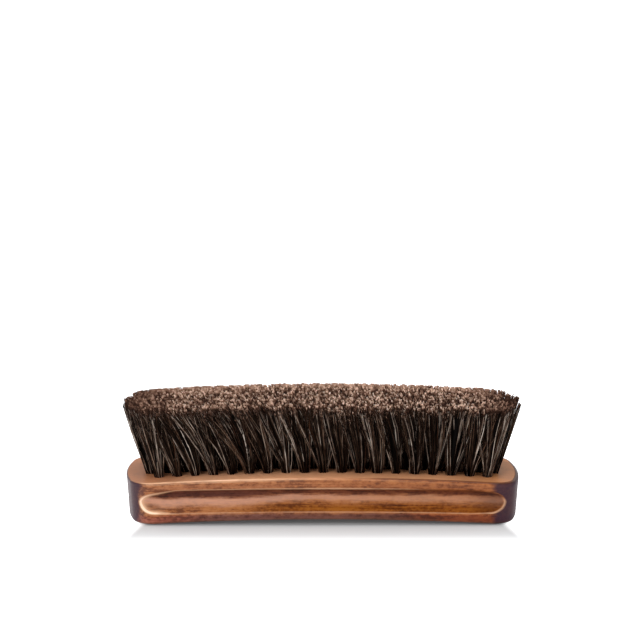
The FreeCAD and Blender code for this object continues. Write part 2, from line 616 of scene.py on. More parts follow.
        common = {
            "Base Color": colour,
            "Roughness": self.roughness + self.rub_roughness * rub
            + self.blotch_roughness * (blotch - 0.5),
            "Normal": book.node("ShaderNodeBump", None, {
                "Height": self.grain_relief * grain - self.pore_relief * pores
                + self.blotch_relief * blotch,
                "Strength": self.bump_strength,
                "Distance": self.bump_distance})}
        lacquered = book.node("ShaderNodeBsdfPrincipled", None, {
            **common, "Specular IOR Level": self.gloss,
            "Coat Weight": self.coat, "Coat Roughness": self.coat_roughness})
        dry = book.node("ShaderNodeBsdfPrincipled", None, {
            **common, "Specular IOR Level": 0.0})
        dry_left, dry_right = self.dry_ends
        dry_end = ends * (dry_left + (dry_right - dry_left) * place.step(
            *self.right_place))
        dryness = (self.dry_cove * low).most(dry_end).most(
            self.dry_face * face)
        return book.finish(book.node("ShaderNodeMixShader", None, {
            0: dryness, 1: lacquered, 2: dry}))


@dataclass(frozen=True)
class HairFinish:
    """Dark horsehair with grey brown strands and paler cut tips, partly
    bleached and partly painted light on the cut ends that face the lamps
    above.

    The colour depends only on a hair's tone and on the share along it, so
    that hairs may lie on each other in the piece's map.
    """

    strands: Tuple[Tuple[float, Colour], ...] = (
        (0.00, (0.0022, 0.0011, 0.0007)), (0.48, (0.0088, 0.0047, 0.0030)),
        (0.72, (0.040, 0.0215, 0.0138)), (0.86, (0.137, 0.080, 0.052)),
        (0.93, (0.405, 0.270, 0.190)), (1.00, (1.000, 0.872, 0.755)))
    # Cut tips: bleached ends and painted light on the ends that face up
    tips: Tuple[Tuple[float, Colour], ...] = (
        (0.00, (0.013, 0.0052, 0.003)), (0.30, (0.063, 0.029, 0.0193)),
        (0.56, (0.360, 0.204, 0.141)), (0.80, (1.000, 0.715, 0.545)),
        (1.00, (1.000, 0.950, 0.870)))
    # Painted glints: parts of each strand dimmed along its length
    glint_dim: Colour = (0.42, 0.38, 0.36)
    glint_dim_span: Span = (0.62, 0.40)
    glint_repeats: Span = (160.0, 5.5)
    russet: Colour = (1.20, 0.92, 0.78)
    russet_span: Span = (0.48, 0.62)
    russet_tone: Span = (0.96, 0.85)
    russet_repeats: float = 90.0
    russet_shift: float = 7.0
    # Painted shade towards the foot of each hair
    foot: Colour = (0.58, 0.56, 0.54)
    foot_shade_span: Span = (0.60, 0.02)
    shaft_end: float = 0.86
    tip_start: float = 0.90
    roughness: float = 0.55
    tip_roughness: float = 0.15
    gloss: float = 0.03

    @staticmethod
    def strand_noise(book: NodeBook, across: Any, along: Any) -> Term:
        """Noise on a plane whose axes are a hair's tone and its length.

        Args:
            book: The material's nodes.
            across: Place on the axis of the tone.
            along: Place on the axis of the length.

        Returns:
            The noise value.
        """
        spot = book.node("ShaderNodeCombineXYZ", None, {0: across, 1: along})
        return book.node("ShaderNodeTexNoise", None, {
            "Vector": spot, "Scale": 1.0, "Detail": 1.0})

    def material(self) -> bpy.types.Material:
        """Build the hair.

        Returns:
            A material whose shafts follow each hair's tone, with painted
            glints that dim parts of each strand, russet hairs and painted
            shade towards the foot, up to the cut tip, which has a tone of its
            own, paler partly from bleaching and partly as painted light.
        """
        book = NodeBook.material("horsehair_strands")
        tone = book.attribute("tone")
        along = book.attribute("along")
        across, upward = self.glint_repeats
        glint = self.strand_noise(book, across * tone, upward * along)
        hue = self.strand_noise(book, self.russet_repeats * tone,
                                self.russet_shift)
        # Shafts: painted glints along each strand, russet hairs, and painted
        # shade towards the foot
        shaft = book.tint(book.ramp(tone, self.strands), [
            (glint.step(*self.glint_dim_span), self.glint_dim),
            (hue.step(*self.russet_span) * tone.step(*self.russet_tone),
             self.russet),
            (along.step(*self.foot_shade_span), self.foot)])
        # Cut tips: bleached ends and painted light
        cut = book.ramp((along - self.tip_start) * (1 / (1 - self.tip_start)),
                        self.tips)
        share = along.step(self.shaft_end, self.tip_start)
        return book.finish(book.node("ShaderNodeBsdfPrincipled", None, {
            "Base Color": book.mix(share, shaft, cut),
            "Roughness": self.roughness + self.tip_roughness * share,
            "Specular IOR Level": self.gloss}))


@dataclass(frozen=True)
class WireFinish:
    """Drawn flat wire of the anchors."""

    metal: Colour = (0.56, 0.50, 0.40)
    tarnish: Colour = (0.30, 0.24, 0.17)
    tarnish_span: Span = (0.45, 0.65)
    streaks: Noise = Noise((900, 6000, 900), 3, 0.6)
    patches: Noise = Noise((260, 260, 260), 2, 0.5, 5.0)
    roughness: float = 0.30
    patch_roughness: float = 0.25
    bump_strength: float = 0.2
    bump_distance: float = 0.02 * MM

    def material(self) -> bpy.types.Material:
        """Build the wire.

        Returns:
            A metal with patchy tarnish and a fine bump of drawing streaks.
        """
        book = NodeBook.material("drawn_wire")
        patch = book.noise(self.patches)
        colour = book.mix(patch.step(*self.tarnish_span), self.metal,
                          self.tarnish)
        bump = book.node("ShaderNodeBump", None, {
            "Height": book.noise(self.streaks),
            "Strength": self.bump_strength, "Distance": self.bump_distance})
        return book.finish(book.node("ShaderNodeBsdfPrincipled", None, {
            "Base Color": colour, "Metallic": 1.0, "Normal": bump,
            "Roughness": self.roughness + self.patch_roughness * patch}))


def make_mesh(name: str, points: Array, faces: Sequence[Array]
              ) -> bpy.types.Mesh:
    """Put whole arrays of points and faces into a smooth mesh.

    Args:
        name: Name of the mesh.
        points: Vertex places, n by 3.
        faces: Arrays of vertex numbers, one row per face; the arrays may
            differ in the number of corners.

    Returns:
        The mesh.
    """
    mesh = bpy.data.meshes.new(name)
    corners = np.concatenate([part.ravel() for part in faces])
    sizes = np.concatenate(
        [np.full(len(part), part.shape[1]) for part in faces])
    starts = np.concatenate([[0], np.cumsum(sizes)[:-1]])
    mesh.vertices.add(len(points))
    mesh.vertices.foreach_set("co", points.astype(np.float32).ravel())
    mesh.loops.add(len(corners))
    mesh.loops.foreach_set("vertex_index", corners.astype(np.int32))
    mesh.polygons.add(len(sizes))
    mesh.polygons.foreach_set("loop_start", starts.astype(np.int32))
    mesh.polygons.foreach_set("use_smooth", np.ones(len(sizes), bool))
    mesh.update(calc_edges=True)
    return mesh


def add_attribute(mesh: bpy.types.Mesh, name: str, values: Array) -> None:
    """Store one number per vertex on a mesh."""
    layer = mesh.attributes.new(name, "FLOAT", "POINT")
    layer.data.foreach_set("value", values.astype(np.float32).ravel())


def add_piece(name: str, mesh: bpy.types.Mesh, material: bpy.types.Material,
              node: str) -> bpy.types.Object:
    """Make a mesh a piece of the brush.

    Args:
        name: Name of the piece.
        mesh: Its finished mesh.
        material: Its material.
        node: CAD node that it stands for.

    Returns:
        The new object.
    """
    mesh.materials.append(material)
    piece = bpy.data.objects.new(name, mesh)
    bpy.context.scene.collection.objects.link(piece)
    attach(piece, BODY)
    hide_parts(node)
    LOG.info("%s: %d vertices for node %s", name, len(mesh.vertices), node)
    return piece


@dataclass(frozen=True)
class Crown:
    """A shallow arch along X: middle - radius + sqrt(radius^2 - x^2)."""

    middle: float
    radius: float

    def height(self, x: Array) -> Array:
        """Height of the arch over x."""
        return self.middle - self.radius + np.sqrt(self.radius ** 2 - x ** 2)


@dataclass(frozen=True)
class BrushSizes:
    """Driving sizes that the block and the hair share."""

    block_length: float = 170 * MM
    block_width: float = 50 * MM
    block_thickness: float = 18.5 * MM
    rest_inset: float = 2.5 * MM
    back_arch_radius: float = 1400 * MM
    face_arch_radius: float = 1200 * MM
    tip_arch_radius: float = 1400 * MM
    bristle_length: float = 30.5 * MM

    @property
    def back(self) -> Crown:
        """Arched back that stands on the floor near its two ends."""
        reach = self.block_length / 2 - self.rest_inset
        drop = math.sqrt(self.back_arch_radius ** 2 - reach ** 2)
        return Crown(self.back_arch_radius - drop, self.back_arch_radius)

    @property
    def face(self) -> Crown:
        """Crowned face that carries the tufts."""
        return Crown(self.back.middle + self.block_thickness,
                     self.face_arch_radius)

    @property
    def tips(self) -> Crown:
        """Crown to which the hair is cut."""
        return Crown(self.face.middle + self.bristle_length,
                     self.tip_arch_radius)


def smooth_excess(value: Array, width: float) -> Array:
    """Positive part, rounded over a width: (v + sqrt(v^2 + w^2)) / 2."""
    return 0.5 * (value + np.sqrt(value ** 2 + width ** 2))


def onset(value: Array, start: float, run: float) -> Array:
    """Share from 0 at start to 1 after a run: (v - start) / run, clipped."""
    return np.clip((value - start) / run, 0, 1)


def soft_excess(value: Array, limit: Array, ease: Array) -> Array:
    """Excess over a soft limit: o - e tanh(o / e), o = value - limit + e."""
    over = np.maximum(value - limit + ease, 0.0)
    return over - ease * np.tanh(over / ease)


def bell(value: Array, width: Union[float, Array]) -> Array:
    """Bell curve round zero: exp(-(v / w)^2)."""
    return np.exp(-(value / width) ** 2)


def ring_faces(rows: int, count: int) -> Tuple[Array, Array, Array]:
    """Number the points of closed rings and join the rings.

    Args:
        rows: Number of rings.
        count: Number of points on each ring.

    Returns:
        Numbers of the points (rows by count), of the next point on the same
        ring, and the quads between the rings.
    """
    number = np.arange(rows * count).reshape(rows, count)
    ahead = np.roll(number, -1, axis=1)
    quads = np.stack([number[:-1], number[1:], ahead[1:], ahead[:-1]], -1)
    return number, ahead, quads.reshape(-1, 4)


@dataclass(frozen=True)
class Curve:
    """Value along X, linear between stops of (millimetres, value)."""

    stops: Tuple[Span, ...]

    def at(self, x: Union[float, Array]) -> Array:
        """Value at x."""
        return np.interp(x / MM, *zip(*self.stops))


@dataclass
class WoodBlock:
    """The handle block: crowned, drafted at its ends, with finger coves.

    An onset holds the place where a change begins, and the length over which
    it becomes full.
    """

    sizes: BrushSizes

    # Shape
    end_arc_radius: float = 70 * MM
    corner_radius: float = 11 * MM
    end_undercut: float = 1.3 * MM
    face_edge_radius: Span = (0.8 * MM, 2.0 * MM)
    back_edge_radius: float = 1.3 * MM
    cove_opening: float = 10.5 * MM
    cove_depth: float = 2.6 * MM
    cove_lip: float = 4.4 * MM
    cove_arch_radius: float = 2500 * MM
    arris_rounding: float = 0.32 * MM
    least_outward: float = 0.12
    taper_onset: Span = (62 * MM, 17 * MM)
    taper_power: float = 1.5
    left_taper: float = 0.6
    right_taper: float = 0.1
    short_end: float = 0.75 * MM
    short_onset: Span = (64 * MM, 12 * MM)

    # Points of the outline and rows of the section
    side_points: int = 33
    corner_points: int = 42
    end_points: int = 17
    edge_rows: int = 8
    upper_rows: int = 15
    cove_rows: int = 61
    lower_rows: int = 13
    row_power: float = 1.7
    row_crowding: float = 0.09
    ring_scales: Tuple[float, ...] = (0.25, 0.5, 0.75, 0.9, 0.97)

    # Rise outside the wall
    face_rise: float = 2.0
    face_edge_fall: float = 0.4
    back_edge_rise: float = -2.4
    back_rise: float = -3.0

    # Rub on the cove's arrises
    wear_width: float = 0.42 * MM
    upper_rub: Curve = Curve((
        (-60, 0.55), (-20, 0.70), (5, 0.98), (36, 0.50), (52, 0.05)))
    upper_gain: float = 3.0
    upper_set: float = 0.28 * MM
    upper_widening: float = 0.3
    lower_rub: float = 0.48
    run_out_rub: float = 0.92
    run_out_onset: Span = (70 * MM, 5 * MM)
    left_rub: float = 0.85
    left_onset: Span = (64 * MM, 8 * MM)
    left_slope: Span = (0.75, 0.45)
    left_set: float = 0.40 * MM
    left_widening: float = 0.35
    inner_rub: float = 0.4
    inner_set: float = 1.3 * MM
    inner_width: float = 0.9 * MM
    fade_onset: Span = (52 * MM, 14 * MM)
    fade_gain: float = 2.2

    # Rub and painted highlight on the face edge, and rub on the back edge
    edge_rub_and_highlight: Curve = Curve((
        (-81, 0.15), (-74, 1.05), (-40, 1.36), (-8, 0.52), (15, 0.38),
        (60, 0.28), (74, 0.24), (81, 0.05)))
    edge_width: float = 0.52 * MM
    crest_angle: float = 0.98
    crest_turn: float = 0.0062
    below_edge_rub_and_highlight: float = 0.5
    below_edge_width: float = 0.45 * MM
    back_rub: float = 0.25
    finish: WoodFinish = field(default_factory=WoodFinish)

    def outline(self) -> Tuple[Array, Array, Array]:
        """Plan outline of the block.

        A quarter runs along the straight side, round a corner arc and along
        the end arc, whose centres lie on one line; mirrored copies close it.

        Returns:
            Points (n by 2), outward normals (n by 2) and, for each point,
            the share of the end draft that it takes, -1 to 1.
        """
        half_length = self.sizes.block_length / 2
        half_width = self.sizes.block_width / 2
        reach = self.end_arc_radius - self.corner_radius
        corner_y = half_width - self.corner_radius
        end_x = half_length - self.end_arc_radius
        corner_x = end_x + math.sqrt(reach ** 2 - corner_y ** 2)
        end_angle = math.asin(corner_y / reach)

        x = np.linspace(0.0, corner_x, self.side_points)[:-1]
        side = np.stack([x, np.full_like(x, -half_width)], 1)
        side_normal = np.tile([0.0, -1.0], (len(x), 1))
        turn = np.linspace(-math.pi / 2, -end_angle,
                           self.corner_points)[:-1]
        corner_normal = np.stack([np.cos(turn), np.sin(turn)], 1)
        corner = [corner_x, -corner_y] + self.corner_radius * corner_normal
        turn = np.linspace(-end_angle, 0.0, self.end_points)
        end_normal = np.stack([np.cos(turn), np.sin(turn)], 1)
        end = [end_x, 0.0] + self.end_arc_radius * end_normal

        points = np.concatenate([side, corner, end])
        normals = np.concatenate([side_normal, corner_normal, end_normal])
        rear, front = np.array([1.0, -1.0]), np.array([-1.0, 1.0])
        points = np.concatenate([points, points[-2::-1] * rear])
        normals = np.concatenate([normals, normals[-2::-1] * rear])
        points = np.concatenate([points, points[-2:0:-1] * front])
        normals = np.concatenate([normals, normals[-2:0:-1] * front])
        return points, normals, np.clip(points[:, 0] / corner_x, -1, 1)

    def face_ease(self, x: Array) -> Array:
        """Radius of the face edge, which grows from left to right.

        The growth goes with the square of the share of the length.

        Args:
            x: Lengthwise places.

        Returns:
            The radius at each place.
        """
        share = np.clip(x / self.sizes.block_length + 0.5, 0, 1)
        left, right = self.face_edge_radius
        return left + (right - left) * share ** 2

    def wall_heights(self, x: Array) -> Tuple[Array, Array, Array]:
        """Heights of the wall's rows at each outline point.

        Three runs of rows, close together at the cove's arrises: from the
        face edge to the upper arris, across the cove, and down to the back
        edge.

        Args:
            x: Lengthwise place of each outline point.

        Returns:
            Heights (rows by n), the cove's middle height (n) and the share
            of the way from the cove's middle to its arris (rows by n).
        """
        sizes = self.sizes
        top = sizes.face.height(x) - self.face_ease(x)
        foot = sizes.back.height(x) + self.back_edge_radius
        half = self.cove_opening / 2
        path = Crown(sizes.face.middle - self.cove_lip - half,
                     self.cove_arch_radius)
        middle = path.height(x)
        step = np.linspace(0.0, 1.0, self.upper_rows)[:, None]
        upper = top + (middle + half - top) * (
            1 - (1 - step) ** self.row_power)
        step = np.linspace(0.0, 1.0, self.cove_rows)[1:, None]
        across = middle + half - 2 * half * (
            step - self.row_crowding * np.sin(2 * math.pi * step))
        step = np.linspace(0.0, 1.0, self.lower_rows)[1:, None]
        lower = middle - half - (
            middle - half - foot) * step ** self.row_power
        heights = np.concatenate([upper, across, lower])
        return heights, middle, (heights - middle) / half

    def cove_bite(self, plan: Array, normal: Array, heights: Array,
                  middle: Array) -> Array:
        """Depth by which the cove cuts in at each wall point.

        The cove is a circle of which the depth is the rise and the opening
        the chord. Round the corners the outline leaves that circle behind,
        and the depth turns negative. The upper half narrows towards the
        ends, and the right end stops short.

        Args:
            plan: Outline points, n by 2.
            normal: Outward normals of the outline, n by 2.
            heights: Heights of the wall's rows, rows by n.
            middle: The cove's middle height, n.

        Returns:
            Depth along the outline's normal, rows by n.
        """
        x = plan[:, 0]
        circle = (self.cove_depth ** 2 + (self.cove_opening / 2) ** 2) / (
            2 * self.cove_depth)
        outward = np.maximum(np.abs(normal[:, 1]), self.least_outward)
        run = onset(np.abs(x), *self.taper_onset) ** self.taper_power
        run = run * np.where(x < 0, self.left_taper, self.right_taper)
        off = (heights - middle) * np.where(heights > middle, 1 + run, 1.0)
        bite = np.sqrt(np.maximum(circle ** 2 - off ** 2, 0.0)) + (
            self.cove_depth - circle) - (
            self.sizes.block_width / 2 - np.abs(plan[:, 1]))
        bite = bite - self.short_end * onset(x, *self.short_onset)
        return bite / outward

    def wall_wear(self, x: Array, share: Array, depth: Array) -> Array:
        """Rub along the cove's arrises.

        A bell curve over the depth, whose strength goes from the lower to
        the upper rub, grows where the cove runs out at the corners and low
        at the left end, and fades from the upper right end.

        Args:
            x: Lengthwise place of each outline point.
            share: Share of the way from the cove's middle to its arris.
            depth: Depth of the cove at each wall point.

        Returns:
            The rub, rows by n.
        """
        corner = onset(np.abs(x), *self.run_out_onset)
        left_end = onset(-x, *self.left_onset)
        faded = onset(x, *self.fade_onset)
        above = np.clip(self.upper_gain * share, 0, 1)
        level, fall = self.left_slope
        low_left = left_end * np.clip(level - fall * share, 0, 1)
        rubbed = self.lower_rub + (
            self.upper_rub.at(x) - self.lower_rub) * above
        rubbed = rubbed + (self.run_out_rub - rubbed) * corner
        rubbed = rubbed + self.left_rub * low_left
        rubbed = rubbed * (
            1 - faded * np.clip(self.fade_gain * share, 0, 1))
        centre = self.upper_set * above + self.left_set * left_end
        width = self.wear_width * (1 + self.upper_widening * above
                                   + self.left_widening * left_end)
        return (rubbed * bell(depth - centre, width)
                + self.inner_rub * low_left * bell(
                    depth - self.inner_set, self.inner_width))

    @property
    def edge_turn(self) -> Array:
        """Angles of the rows round an edge, from 0 to a quarter turn."""
        return np.linspace(0.0, math.pi / 2, self.edge_rows)[:, None]

    def edge_wear_and_highlight(self, x: Array, heights: Array) -> Tuple[Array, Array]:
        """Rub and painted highlight along the face edge.

        A bell curve across the edge, whose crest turns along the brush, and
        another one down the wall below it.

        Args:
            x: Lengthwise place of each outline point.
            heights: Heights of the wall's rows, rows by n.

        Returns:
            Rub and painted highlight on the edge's rows, and on the wall's
            rows.
        """
        rub = self.edge_rub_and_highlight.at(x)
        ease = self.face_ease(x)
        crest = self.crest_angle + self.crest_turn * x / MM
        across = (self.edge_turn[:-1] - crest) * ease
        below = self.sizes.face.height(x) - ease - heights
        return (rub * bell(across, self.edge_width),
                self.below_edge_rub_and_highlight * rub * bell(below, self.below_edge_width))

    def section(self, plan: Array, normal: Array, lean: Array,
                heights: Array, inset: Array) -> Array:
        """Points of the section from the face edge to the back edge.

        Both edges are quarter circles. A point moves inwards along the
        outline's normal by its inset, and below the face the ends lean in by
        their draft.

        Args:
            plan: Outline points, n by 2.
            normal: Outward normals of the outline, n by 2.
            lean: Share of the end draft at each outline point.
            heights: Heights of the wall's rows, rows by n.
            inset: Insets of the wall's points, rows by n.

        Returns:
            Points, rows by n by 3.
        """
        x, sizes = plan[:, 0], self.sizes
        face_turn, back_turn = self.edge_turn[:-1], self.edge_turn[1:]
        ease, back_ease = self.face_ease(x), self.back_edge_radius
        insets = np.concatenate([
            ease * (1 - np.sin(face_turn)), inset,
            back_ease * (1 - np.cos(back_turn)) * np.ones(len(x))])
        levels = np.concatenate([
            sizes.face.height(x) - ease * (1 - np.cos(face_turn)), heights,
            sizes.back.height(x) + back_ease * (1 - np.sin(back_turn))])
        draft = self.end_undercut / sizes.block_thickness
        widest = sizes.face.height(np.array(sizes.block_length / 2))
        shift = lean * draft * (np.minimum(levels, widest) - widest)
        return np.stack([x + shift - normal[:, 0] * insets,
                         plan[:, 1] - normal[:, 1] * insets, levels], -1)

    def cover(self, rim: Array) -> Array:
        """Carry the section on over the face and the back.

        Smaller and smaller copies of its first and last row lie on the
        crown of the face and on the arch of the back.

        Args:
            rim: Points of the section, rows by n by 3.

        Returns:
            The whole grid, which only lacks its two poles.
        """
        scale = np.array(self.ring_scales)[:, None, None]
        face, back = (
            np.concatenate([flat, crown.height(flat[..., :1])], -1)
            for flat, crown in ((rim[0, :, :2] * scale, self.sizes.face),
                                (rim[-1, :, :2] * scale, self.sizes.back)))
        return np.concatenate([face, rim, back[::-1]])

    def build(self) -> bpy.types.Object:
        """Build the block as one grid, outline by section.

        The section runs from the middle of the face out to its edge, round
        the face edge, down the wall and through the cove, round the back
        edge and in to the middle of the back. A wall point moves inwards to
        the cove's circle, and that move is rounded where it starts, which
        softens the arrises.

        Returns:
            The block's piece.
        """
        plan, normal, lean = self.outline()
        heights, middle, share = self.wall_heights(plan[:, 0])
        depth = self.cove_bite(plan, normal, heights, middle)
        inset = smooth_excess(depth, self.arris_rounding)
        grid = self.cover(self.section(plan, normal, lean, heights, inset))

        count = len(plan)
        pad = np.zeros((len(self.ring_scales), count))
        edge = np.zeros((self.edge_rows - 1, count))
        edge_wear_and_highlight, below_wear_and_highlight = self.edge_wear_and_highlight(plan[:, 0], heights)
        wall_wear = self.wall_wear(plan[:, 0], share, depth)
        wears_and_highlights = np.concatenate([
            pad, edge_wear_and_highlight, np.maximum(wall_wear, below_wear_and_highlight),
            edge + self.back_rub, pad])
        coves = np.concatenate([
            pad, edge, np.clip(inset / self.cove_depth, 0, 1), edge, pad])
        fall = self.face_edge_fall * self.edge_turn[:-1] / self.edge_turn[-1]
        rises = np.concatenate([
            pad + self.face_rise, edge + self.face_rise - fall, share,
            edge + self.back_edge_rise, pad + self.back_rise])

        poles = np.array([[0, 0, self.sizes.face.middle],
                          [0, 0, self.sizes.back.middle]])
        points = np.concatenate([grid.reshape(-1, 3), poles])
        number, ahead, quads = ring_faces(len(grid), count)
        cap = np.full(count, number.size)
        face_cap = np.stack([cap, number[0], ahead[0]], -1)
        back_cap = np.stack([cap + 1, ahead[-1], number[-1]], -1)
        mesh = make_mesh("wood_block_surface", points,
                         [quads, face_cap, back_cap])
        for name, values, ends in (
                ("wear_and_highlight", wears_and_highlights, (0.0, 0.0)), ("cove", coves, (0.0, 0.0)),
                ("rise", rises, (self.face_rise, self.back_rise))):
            add_attribute(mesh, name, np.append(values.ravel(), ends))
        return add_piece("stained_block", mesh, self.finish.material(),
                         "wood_block")


@dataclass
class HairField:
    """Five staggered rows of folded tufts, one piece for each rank.

    Spreads are the standard deviations of random offsets. An onset holds the
    place where a change begins, and the length over which it becomes full.
    """

    sizes: BrushSizes

    # Rows of tufts
    row_count: int = 5
    holes_in_long_row: int = 20
    end_margin: float = 11 * MM
    side_margin: float = 10.6 * MM
    end_splay: float = 7.1 * MM
    side_splay: float = 1.5 * MM
    corner_tuck: float = 0.35

    # Outline of the field
    root_reach: Span = (76.4 * MM, 75.0 * MM)
    end_reach: Span = (86.9 * MM, 85.5 * MM)
    end_ease: float = 4.5 * MM
    end_ease_least: float = 0.15
    ragged_spread: float = 0.3 * MM
    round_start: float = 74 * MM
    round_end: float = 88.5 * MM
    round_power: float = 2.0
    round_most: float = 0.995
    narrow_power: float = 1.2
    brim_ease: float = 1.2 * MM
    brim_ease_least: float = 0.2

    # Wisps and the locks that they gather in
    root_radius: float = 2.0 * MM
    root_depth: float = 1.5 * MM
    root_mix: float = 0.3
    flare: float = 1.2
    overlap: Span = (1.3, 1.04)
    wisps_across: int = 8
    wisp_uneven: float = 0.10 * MM
    locks_per_tuft: int = 8
    lock_reach: float = 0.9
    lock_gather: float = 0.9
    lock_pull: float = 0.30
    lock_sway: float = 0.4 * MM
    sway_power: float = 1.5
    drift_spread: float = 1.7 * MM
    drift_turn: float = 2.6
    tilt_spread: float = 1.5 * MM
    tilt_across: float = 0.3
    comb_lag: Span = (0.4, 1.5)
    comb_power: float = 1.6
    comb_set: Curve = Curve((
        (-78, 0), (-70, -1), (-63, -8.5), (-25, -10), (-14, -6.5), (0, -4.5),
        (20, -5), (32, -7.5), (44, -3.5), (54, 0)))

    # Hairs
    shares: Tuple[float, ...] = (0.0, 0.22, 0.46, 0.71, 0.94, 1.0)
    hairs_per_wisp: int = 6
    hair_sides: int = 3
    hair_radius: float = 0.088 * MM
    hair_taper: float = 0.38
    wisp_radius: float = 0.15 * MM
    wisp_growth: Span = (0.8, 1.9)
    cross_turn: Span = (0.4, 1.1)
    loose_spread: float = 0.30 * MM
    loose_power: float = 1.3
    stray_spread: float = 1.8 * MM
    neat_share: float = 0.94
    full_share: float = 0.97
    short_reach: float = 6 * MM
    cut_spread: float = 0.06 * MM
    fringe_drop: Curve = Curve((
        (-70, 2.7), (-40, 3.2), (-5, 3.7), (30, 3.1), (60, 1.9)))
    drop_least: float = 0.1
    back_drop: float = 0.15 * MM
    edge_width: float = 3.2 * MM
    edge_most: float = 1.3
    rear_lift: float = 0.8 * MM
    lift_reach: float = 80 * MM

    # Tones of the shafts
    wisp_tone: float = 0.2
    dark_share: float = 0.93
    pale_growth: float = 1.8
    shade_power: Curve = Curve((
        (-76, 0.80), (-60, 0.86), (-10, 0.80), (15, 0.86), (48, 1.20),
        (62, 0.96), (74, 0.80)))
    last_along: float = 0.88

    # Tones of the cut tips, with painted light and painted shade
    speck: Span = (0.72 * MM, 2.2 * MM)
    speck_stagger: float = 0.37
    speck_hash: Tuple[float, float, float] = (12.99, 78.23, 43758.55)
    speck_relief: float = 0.22 * MM
    speck_share: float = 0.82
    right_gain: float = 0.06
    right_reach: float = 60 * MM
    right_limits: Span = (-0.3, 1.0)
    far_onset: Span = (3 * MM, 14 * MM)
    far_calm: float = 0.8
    far_share: float = 0.72
    far_tone: float = 0.66
    far_growth: float = 0.6
    rim_start: float = 0.5 * MM
    rim_run: float = 2 * MM
    rim_fall: float = 0.12
    end_onset: Span = (62 * MM, 22 * MM)
    end_fall: float = 0.42

    # Dense cores of the tufts
    core_shares: Tuple[float, ...] = (0.0, 0.3, 0.58, 0.84)
    core_radii: Tuple[float, ...] = (1.3 * MM, 1.6 * MM, 2.0 * MM, 2.2 * MM)
    core_alongs: Tuple[float, ...] = (0.0, 0.2, 0.4, 0.6)
    core_sides: int = 9
    core_tone: float = 0.004

    map_width: float = 0.012
    seed: int = 41
    finish: HairFinish = field(default_factory=HairFinish)

    @property
    def hole_pitch(self) -> float:
        """Step between the holes of a row."""
        return 2 * self.long_row_reach / (self.holes_in_long_row - 1)

    @property
    def row_pitch(self) -> float:
        """Step between the rows."""
        return 2 * self.outer_row_reach / (self.row_count - 1)

    @property
    def long_row_reach(self) -> float:
        """Distance from the middle to the last hole of a long row."""
        return self.sizes.block_length / 2 - self.end_margin

    @property
    def outer_row_reach(self) -> float:
        """Distance from the middle to an outer row."""
        return self.sizes.block_width / 2 - self.side_margin

    def tuft_places(self, rank: int) -> Tuple[Array, Array]:
        """Hole mouths and tips of one rank, both m by 3.

        Odd ranks stand in the two long rows and even ranks in the other
        three. A tip is its mouth moved outwards in the shares of the end
        and side splay, and lifted to the crown of the tips.

        Args:
            rank: Number of the rank, from 1 at the low X end.

        Returns:
            Mouths and tips.
        """
        rows = np.arange(rank % 2, self.row_count, 2)
        x = np.full(len(rows), (rank - 1) * self.hole_pitch / 2
                    - self.long_row_reach)
        y = rows * self.row_pitch - self.outer_row_reach
        mouths = np.stack([x, y, self.sizes.face.height(x)], 1)
        tuck = 1 - self.corner_tuck * (y / self.outer_row_reach) ** 2
        x = x * (1 + tuck * self.end_splay / self.long_row_reach)
        y = y * (1 + self.side_splay / self.outer_row_reach)
        return mouths, np.stack([x, y, self.sizes.tips.height(x)], 1)

    def comb(self, x: Array) -> Array:
        """Sideways set of the tips at x."""
        return MM * self.comb_set.at(x)

    def end_limit(self, x: Array) -> Array:
        """Share of the full width that is left near the ends.

        It is (1 - s^p)^(1/p), where s goes from 0 at the start of the round
        to 1 at its end.

        Args:
            x: Lengthwise places.

        Returns:
            The share at each place.
        """
        share = np.clip((np.abs(x) - self.round_start)
                        / (self.round_end - self.round_start),
                        0, self.round_most)
        return (1 - share ** self.round_power) ** (1 / self.round_power)

    def speckle(self, x: Array, y: Array) -> Array:
        """Random number of each speck.

        Specks are oblong cells in staggered rows, and the number of the cell
        in column i of row j is the fraction of k sin(a i + b j).

        Args:
            x: Lengthwise places.
            y: Crosswise places.

        Returns:
            The number of the speck at each place, 0 to 1.
        """
        row = np.floor(y / self.speck[1])
        column = np.floor(x / self.speck[0] + self.speck_stagger * row)
        a, b, k = self.speck_hash
        return np.mod(k * np.sin(a * column + b * row), 1.0)

    def end_excess(self, x: Array, share: Array) -> Array:
        """How far x lies past the soft end of the field.

        The end leans out evenly from the roots' reach to the tips' reach.

        Args:
            x: Lengthwise places, one row for each hair.
            share: Share of the way along the hair of each column.

        Returns:
            The excess, with the sign of x.
        """
        root = np.where(x < 0, *self.root_reach)
        limit = root + (np.where(x < 0, *self.end_reach) - root) * share
        ease = self.end_ease * from_least(self.end_ease_least, share)
        return np.sign(x) * soft_excess(np.abs(x), limit, ease)

    @property
    def cell(self) -> Array:
        """Half of a tuft's square cell at the tips, along X and Y."""
        return np.array(self.overlap) * np.array([
            self.hole_pitch * (1 + self.end_splay / self.long_row_reach),
            self.row_pitch * (1 + self.side_splay / self.outer_row_reach)
        ]) / 2

